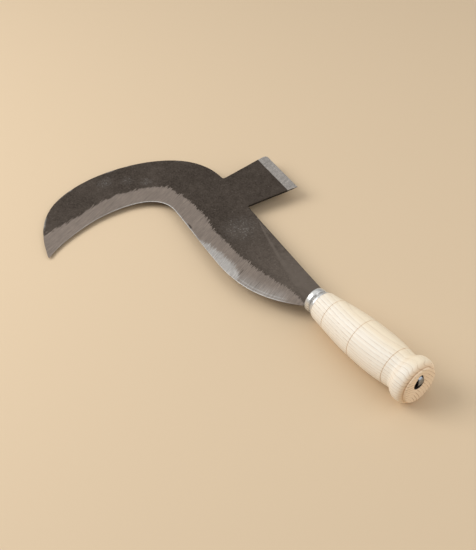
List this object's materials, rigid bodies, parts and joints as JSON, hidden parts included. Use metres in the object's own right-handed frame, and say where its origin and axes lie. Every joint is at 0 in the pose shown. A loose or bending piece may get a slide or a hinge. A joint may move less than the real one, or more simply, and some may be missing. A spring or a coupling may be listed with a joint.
{
  "type": "billhook",
  "caption": "Hand billhook with a hooked, ground cutting blade, a flat axe on its back, a beaded ferrule and a turned wooden handle that the blade's clenched tang runs through.",
  "frame": {"origin": "on the handle's axis, in the plane of the butt", "axes": "+X along the handle's axis from the butt to the blade, +Y towards the cutting edge in the blade's plane, +Z square to the blade's face on the side that the tang's end is clenched to"},
  "size_m": [0.4221, 0.2592, 0.0452],
  "materials": {
    "blade_steel": "dark forge scale with a ground bevel along the edges",
    "ferrule_plate": "bright plated",
    "handle_wood": "smooth, pale, clear finished, straight grained"
  },
  "bodies": {
    "root": {"blade": "blade_steel", "ferrule": "ferrule_plate", "handle": "handle_wood"}
  },
  "joints": []
}
